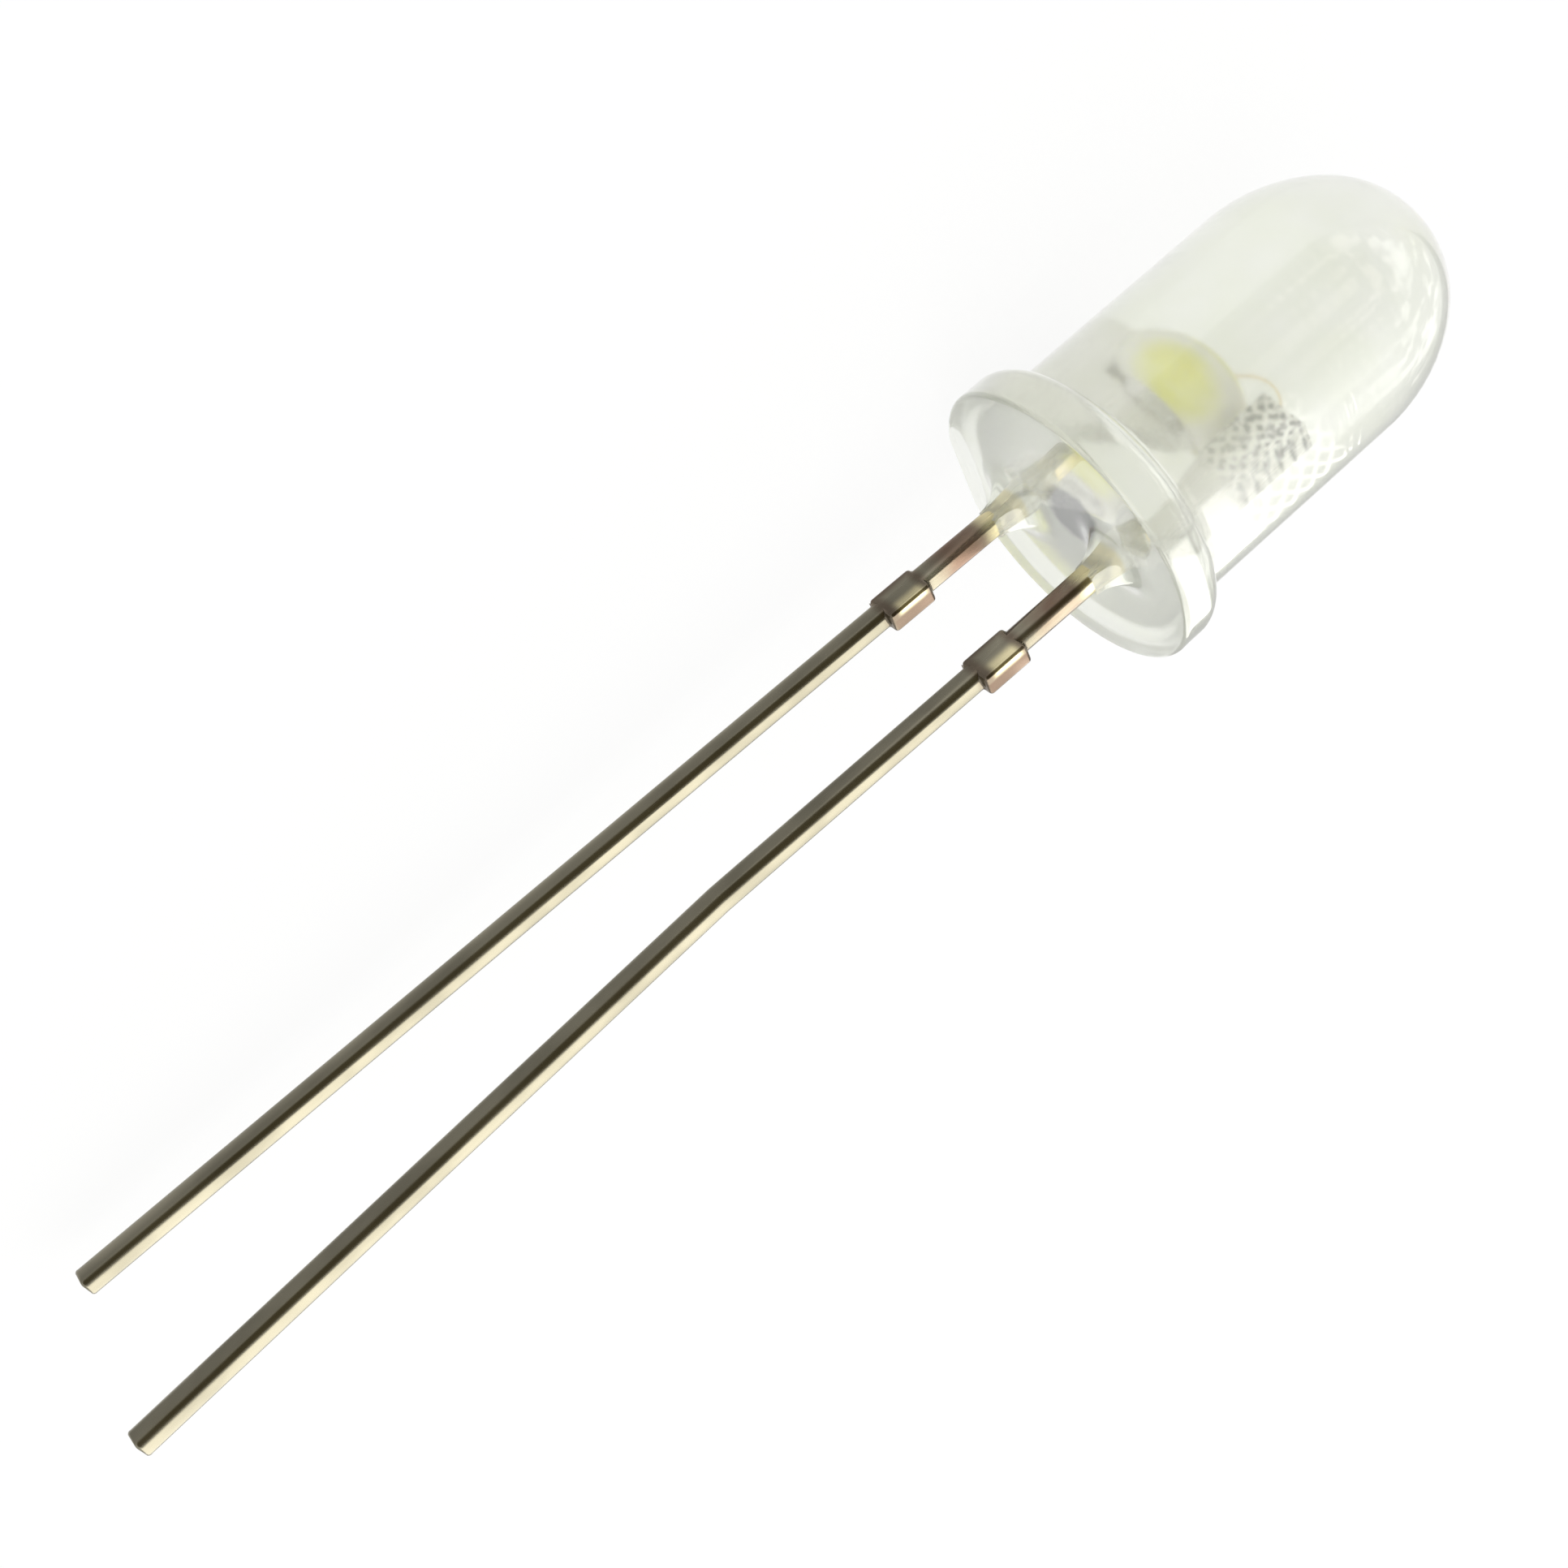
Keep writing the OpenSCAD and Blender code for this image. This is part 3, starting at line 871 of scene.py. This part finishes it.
class MESH_OT_led_lead_frame(bpy.types.Operator):
    """Make the two halves of the lead frame with their legs"""

    bl_idname = "mesh.led_lead_frame"
    bl_label = "Lead frame"

    def execute(self, context):
        edge = context.scene.led_leads.edge
        material = plated_steel()
        for node, name in (("cathode_lead", "cathode_frame"), ("anode_lead", "anode_frame")):
            piece = frame_half(node, name, material, edge)
            show(piece, node)
        return {"FINISHED"}


# ---------------------------------------------------------------- phosphor, die and wires


def drop_profile(cup, low, high, radius):
    """Profile of the drop of phosphor, from its top, down its ball to the outside of the cup, over the rim
    and down to the cup floor. Low and high are its ends along the axis."""
    centre = high - radius
    rim_at = low + cup.depth
    rim = Vector((rim_at - centre, cup.rim + cup.wall))
    foot = Vector((rim_at - cup.depth - cup.base - centre, cup.floor + cup.wall / 2))
    fall = foot - rim
    half_b, c = rim.dot(fall), rim.length_squared - radius**2
    share = (-half_b + math.sqrt(half_b**2 - fall.length_squared * c)) / fall.length_squared
    meet = rim + share * fall
    points = arc((centre, 0), radius, 0, math.degrees(math.atan2(meet.y, meet.x)), steps=64)
    points += [(rim_at, rim.y), (rim_at, cup.rim)]
    return points + line((low, cup.floor), (low, 0), steps=6)


class MESH_OT_led_phosphor(bpy.types.Operator):
    """Make the drop of phosphor resin that fills the cup and closes over its rim"""

    bl_idname = "mesh.led_phosphor"
    bl_label = "Phosphor"

    def execute(self, context):
        low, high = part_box("phosphor_fill")
        points = drop_profile(context.scene.led_cup, low.x, high.x, (high.y - low.y) / 2)
        axis = (low.z + high.z) / 2
        mesh = turned_piece("phosphor_drop", tidy_profile(points), axis, phosphor_resin(), segments=96)
        piece = plain_object("phosphor_drop", finish_mesh(mesh, sharp_degrees=45))
        show(piece, "phosphor_fill")
        return {"FINISHED"}


class MESH_OT_led_bond_wires(bpy.types.Operator):
    """Make the two gold bond wires from the die to the cathode ledge and the anode post"""

    bl_idname = "mesh.led_bond_wires"
    bl_label = "Bond wires"

    def execute(self, context):
        sizes = context.scene.led_leads
        material = bond_gold()
        tree, identifiers = wire_tree()
        chip_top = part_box("led_chip")[1].x
        seat = 0.012 * MM
        start_rise, end_rise, end_slant = 1.25, 1.1, 0.2 * MM
        for pole, side in (("anode", 1), ("cathode", -1)):
            node, name = pole + "_bond_wire", pole + "_wire"
            low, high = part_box(node)
            start_z = (low.z if side > 0 else high.z) + side * sizes.ball
            end_z = (high.z if side > 0 else low.z) - side * sizes.ball
            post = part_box(pole + "_lead")[1].x
            start = Vector((chip_top + seat, 0, start_z))
            end = Vector((post + seat, 0, end_z))
            top = high.x - sizes.wire
            values = {
                "Start": start,
                "Start Handle": Vector((start.x + start_rise * (top - start.x), 0, start_z)),
                "End Handle": Vector((end.x + end_rise * (top - end.x), 0, end_z - side * end_slant)),
                "End": end,
                "Wire Radius": sizes.wire,
                "Ball Radius": sizes.ball,
                "Material": material,
            }
            mesh = grow(name, bpy.data.meshes.new(name + "_none"), tree, identifiers, values)
            piece = plain_object(name, finish_mesh(mesh, sharp_degrees=60, merge=SEAM))
            show(piece, node)
        return {"FINISHED"}


class MESH_OT_led_die(bpy.types.Operator):
    """Finish the die and the paste that holds it"""

    bl_idname = "mesh.led_die"
    bl_label = "Die"

    def execute(self, context):
        for node, material in (("led_chip", crystal()), ("die_attach", die_paste())):
            for slot in frame["nodes"][node].material_slots:
                slot.material = material
        return {"FINISHED"}


# ---------------------------------------------------------------- studio

# Colours of the room as glass and metal show it, low down and high up, of its bright parts, and as it lights
# dull surfaces.
ROOM_LOW = (0.92, 0.925, 0.905)
ROOM_HIGH = (0.96, 0.965, 0.95)
DAYLIGHT = (1.0, 0.985, 0.93)
ROOM_LIGHT = (0.72, 0.725, 0.72)
DAYLIGHT_STRENGTH = 4.5
# Dark parts of the room: direction, the degrees from it where each starts to fade and where it ends, colour.
CAMERA_SIDE = ((0.15, 0.68, 0.72), 30, 60, (0.15, 0.13, 0.075))
FAR_WALL = ((0.30, -0.94, 0.08), 16, 36, (0.45, 0.45, 0.435))
BEYOND_DOME = ((0.80, 0.46, 0.39), 14, 24, (0.01, 0.01, 0.02))
# Directions of two small lamps in the room, the seed of the leaves, and how bright these are.
LAMPS = ((0.69, 0.70, 0.19), (0.91, 0.13, 0.38))
LEAF_SEED = 15.54
SMALL_LIGHT = 0.32
# How much darker the floor is where metal and glass mirror it, and the share of it that is white by itself.
FLOOR_DARKENING = 0.55
FLOOR_GLOW = 0.88
FLOOR_RADIUS = 1.5

# Directions that the camera's back and right side face. The other three are in millimetres.
CAMERA_BACK = (-0.1906, 0.7160, 0.6716)
CAMERA_RIGHT = (0.7366, -0.3479, 0.5800)
CAMERA_PLACE = (-7.37, 25.55, 26.86)
CAMERA_SENSOR = 36.0
CAMERA_LENS = 48.45


def lobe(tree, direction, towards, inner, outer):
    """How near a direction lies to another: 1 within the inner angle and 0 past the outer, in degrees."""
    towards = Vector(towards).normalized()
    dot = add(tree, "ShaderNodeVectorMath", {0: direction, 1: towards}, operation="DOT_PRODUCT")
    return span(tree, dot.outputs["Value"], math.cos(math.radians(outer)), math.cos(math.radians(inner)))


def window(tree, direction):
    """How bright a tall window on the far side looks in a direction: clear along most of its length, and
    behind a lattice at its end. The angle round the lamp's axis is measured from the horizon on that side,
    and the place along the axis in shares of the distance from it."""
    foot, head, lattice_head = math.radians(-20), math.radians(76), math.radians(100)
    start, pane_end, end = -0.8, 0.465, 0.53
    bar_turn, bar_pitch = math.radians(26), 0.0125
    parts = parts_of(tree, direction)
    turn = maths(tree, "ARCTAN2", parts["Z"], times(tree, parts["Y"], -1.0))
    away = add(tree, "ShaderNodeCombineXYZ", {1: parts["Y"], 2: parts["Z"]}).outputs[0]
    away = add(tree, "ShaderNodeVectorMath", {0: away}, operation="LENGTH").outputs["Value"]
    along = maths(tree, "DIVIDE", parts["X"], away)
    tall = band(tree, turn, foot, head, math.radians(3))
    clear = band(tree, along, start, pane_end, 0.006)
    sunlit = span(tree, along, 0.30, 0.38, to_low=0.58)
    across = times(tree, turn, math.pi / bar_turn)
    down = times(tree, along, math.pi / bar_pitch)
    bars = []
    for operation in ("ADD", "SUBTRACT"):
        wave = maths(tree, "ABSOLUTE", maths(tree, "SINE", maths(tree, operation, across, down)))
        bars.append(span(tree, wave, 0.25, 0.6, 1.0, 0.0))
    lattice = times(
        tree,
        either(tree, *bars),
        band(tree, along, pane_end, end, 0.004),
        band(tree, turn, foot, lattice_head, math.radians(8)),
        0.6,
    )
    return either(tree, times(tree, tall, clear, sunlit), lattice)


def small_lights(tree, direction):
    """How bright two small lamps, and daylight through leaves over the dome's end, look in a direction."""
    parts = parts_of(tree, direction)
    lamps = maths(tree, "ADD", *(lobe(tree, direction, lamp, 1, 10) for lamp in LAMPS))
    noise = add(
        tree,
        "ShaderNodeTexNoise",
        {"Vector": direction, "Scale": 8.0, "Detail": 4.0, "W": LEAF_SEED},
        noise_dimensions="4D",
    ).outputs["Fac"]
    over_dome = times(tree, span(tree, parts["X"], 0.40, 0.55), span(tree, parts["Z"], 0.0, 0.2))
    leaves = times(tree, span(tree, noise, 0.47, 0.62), over_dome)
    return times(tree, either(tree, lamps, leaves), SMALL_LIGHT)


def studio_world():
    """A pale room with a tall window. Glass and metal show its bright and dark parts, and the camera sees
    plain white."""
    world = bpy.data.worlds.new("studio")
    world.use_nodes = True
    tree = world.node_tree
    tree.nodes.clear()
    output = tree.nodes.new("ShaderNodeOutputWorld")
    direction = add(tree, "ShaderNodeTexCoord").outputs["Generated"]
    rays = add(tree, "ShaderNodeLightPath").outputs
    mirrored, bent = mirror_rays(tree, rays), rays["Is Transmission Ray"]
    shown = blend_colours(tree, span(tree, parts_of(tree, direction)["Z"], 0.0, 0.9), ROOM_LOW, ROOM_HIGH)
    for kind, dark in ((mirrored, CAMERA_SIDE), (mirrored, FAR_WALL), (bent, BEYOND_DOME)):
        towards, inner, outer, shade = dark
        share = times(tree, lobe(tree, direction, towards, inner, outer), kind)
        shown = blend_colours(tree, share, shown, shade)
    bright = times(tree, either(tree, window(tree, direction), small_lights(tree, direction)), mirrored)
    shown = blend_colours(tree, bright, shown, DAYLIGHT)
    strength = maths(tree, "ADD", times(tree, bright, DAYLIGHT_STRENGTH), 1.0)
    room = blend_colours(tree, either(tree, bent, rays["Is Glossy Ray"]), ROOM_LIGHT, shown)
    room = blend_colours(tree, rays["Is Camera Ray"], room, (1.0, 1.0, 1.0))
    background = add(tree, "ShaderNodeBackground", {"Color": room, "Strength": strength})
    tree.links.new(background.outputs[0], output.inputs["Surface"])
    bpy.context.scene.world = world


def floor_finish():
    """Matt board that is white to the camera and through glass, and keeps the lamp's shadow. What mirrors it
    shows it darker beside the legs and far behind the lamp."""
    tint = bpy.context.scene.led_finish.floor
    material, tree, output = new_material("white_board")
    place = parts_of(tree, object_place(tree))
    rays = add(tree, "ShaderNodeLightPath").outputs
    flange = flange_bottom()
    under_legs = span(tree, place["X"], flange - 1.5 * MM, flange + 0.5 * MM, 1.0, 0.0)
    near_side = times(tree, span(tree, place["Y"], 0.0, 1.8 * MM), under_legs)
    far_side = span(tree, place["Y"], -13 * MM, -11 * MM, 1.0, 0.0)
    darker = times(tree, mirror_rays(tree, rays), either(tree, near_side, far_side), FLOOR_DARKENING)
    board = add(tree, "ShaderNodeBsdfDiffuse", {"Color": (*tint, 1.0)})
    glow = add(tree, "ShaderNodeEmission", {"Color": (1, 1, 1, 1), "Strength": opposite(tree, darker)})
    seen = either(tree, rays["Is Camera Ray"], rays["Is Transmission Ray"], rays["Is Glossy Ray"])
    share = times(tree, seen, FLOOR_GLOW)
    mix = add(tree, "ShaderNodeMixShader", {0: share, 1: board.outputs[0], 2: glow.outputs[0]})
    tree.links.new(mix.outputs[0], output.inputs["Surface"])
    return material


def softbox(name, place, target, size, radiance, tint):
    """A soft square panel that faces a target. Radiance is how bright its face would look. In reflections the
    room's window stands for it."""
    lamp = bpy.data.lights.new(name, "AREA")
    lamp.shape = "SQUARE"
    lamp.size = size
    lamp.energy = radiance * math.pi * size**2
    lamp.color = tint
    panel = bpy.data.objects.new(name, lamp)
    panel.location = place
    panel.rotation_euler = (Vector(target) - Vector(place)).to_track_quat("-Z", "Y").to_euler()
    panel.visible_glossy = False
    panel.visible_transmission = False
    bpy.context.scene.collection.objects.link(panel)


def set_camera():
    """The camera looks down over the legs from the flange side."""
    back = Vector(CAMERA_BACK).normalized()
    right = Vector(CAMERA_RIGHT)
    right = (right - right.dot(back) * back).normalized()
    data = bpy.data.cameras.new("camera")
    data.sensor_width = CAMERA_SENSOR
    data.lens = CAMERA_LENS
    data.clip_start = 1 * MM
    data.clip_end = 20.0
    camera = bpy.data.objects.new("camera", data)
    turn = Matrix((right, back.cross(right), back)).transposed().to_4x4()
    camera.matrix_world = Matrix.Translation(Vector(CAMERA_PLACE) * MM) @ turn
    bpy.context.scene.collection.objects.link(camera)
    bpy.context.scene.camera = camera


class SCENE_OT_led_studio(bpy.types.Operator):
    """Lay the pale floor and set the lights, the room and the camera"""

    bl_idname = "scene.led_studio"
    bl_label = "Studio"

    def execute(self, context):
        context.scene.view_settings.view_transform = "Standard"
        shape = bmesh.new()
        bmesh.ops.create_circle(shape, cap_ends=True, segments=96, radius=FLOOR_RADIUS)
        mesh = bpy.data.meshes.new("floor")
        shape.to_mesh(mesh)
        shape.free()
        mesh.materials.append(floor_finish())
        floor = plain_object("floor", mesh)
        studio_world()
        middle = (0.0, 0.0, 0.003)
        softbox("key", (0.0, -0.17, 0.36), middle, size=0.50, radiance=1.45, tint=(1.0, 0.99, 0.95))
        softbox("fill", (-0.30, 0.16, 0.14), middle, size=0.30, radiance=1.0, tint=(1.0, 1.0, 1.0))
        set_camera()
        return {"FINISHED"}


class VIEW3D_PT_led_lamp(bpy.types.Panel):
    """Sizes, colours and the makers of the LED lamp's pieces"""

    bl_idname = "VIEW3D_PT_led_lamp"
    bl_label = "LED Lamp"
    bl_space_type = "VIEW_3D"
    bl_region_type = "UI"
    bl_category = "LED Lamp"

    def draw(self, context):
        scene = context.scene
        for group in (scene.led_lens, scene.led_cup, scene.led_leads, scene.led_finish):
            box = self.layout.box()
            for name in group.__annotations__:
                box.prop(group, name)
        for operator in OPERATORS:
            self.layout.operator(operator.bl_idname)


OPERATORS = (
    MESH_OT_led_lens,
    MESH_OT_led_lead_frame,
    MESH_OT_led_phosphor,
    MESH_OT_led_bond_wires,
    MESH_OT_led_die,
    SCENE_OT_led_studio,
)
GROUPS = (LedLensSizes, LedCupSizes, LedLeadSizes, LedFinish)
CLASSES = GROUPS + OPERATORS + (VIEW3D_PT_led_lamp,)


def register():
    """Registers the classes and hangs their settings on the scene."""
    for cls in CLASSES:
        bpy.utils.register_class(cls)
    bpy.types.Scene.led_lens = bpy.props.PointerProperty(type=LedLensSizes)
    bpy.types.Scene.led_cup = bpy.props.PointerProperty(type=LedCupSizes)
    bpy.types.Scene.led_leads = bpy.props.PointerProperty(type=LedLeadSizes)
    bpy.types.Scene.led_finish = bpy.props.PointerProperty(type=LedFinish)


def unregister():
    """Takes the settings off the scene and unregisters the classes."""
    del bpy.types.Scene.led_finish
    del bpy.types.Scene.led_leads
    del bpy.types.Scene.led_cup
    del bpy.types.Scene.led_lens
    for cls in reversed(CLASSES):
        bpy.utils.unregister_class(cls)


def main():
    """Makes every piece and the studio."""
    register()
    bpy.ops.mesh.led_lens()
    bpy.ops.mesh.led_lead_frame()
    bpy.ops.mesh.led_phosphor()
    bpy.ops.mesh.led_bond_wires()
    bpy.ops.mesh.led_die()
    bpy.ops.scene.led_studio()


if __name__ == "__main__":
    main()
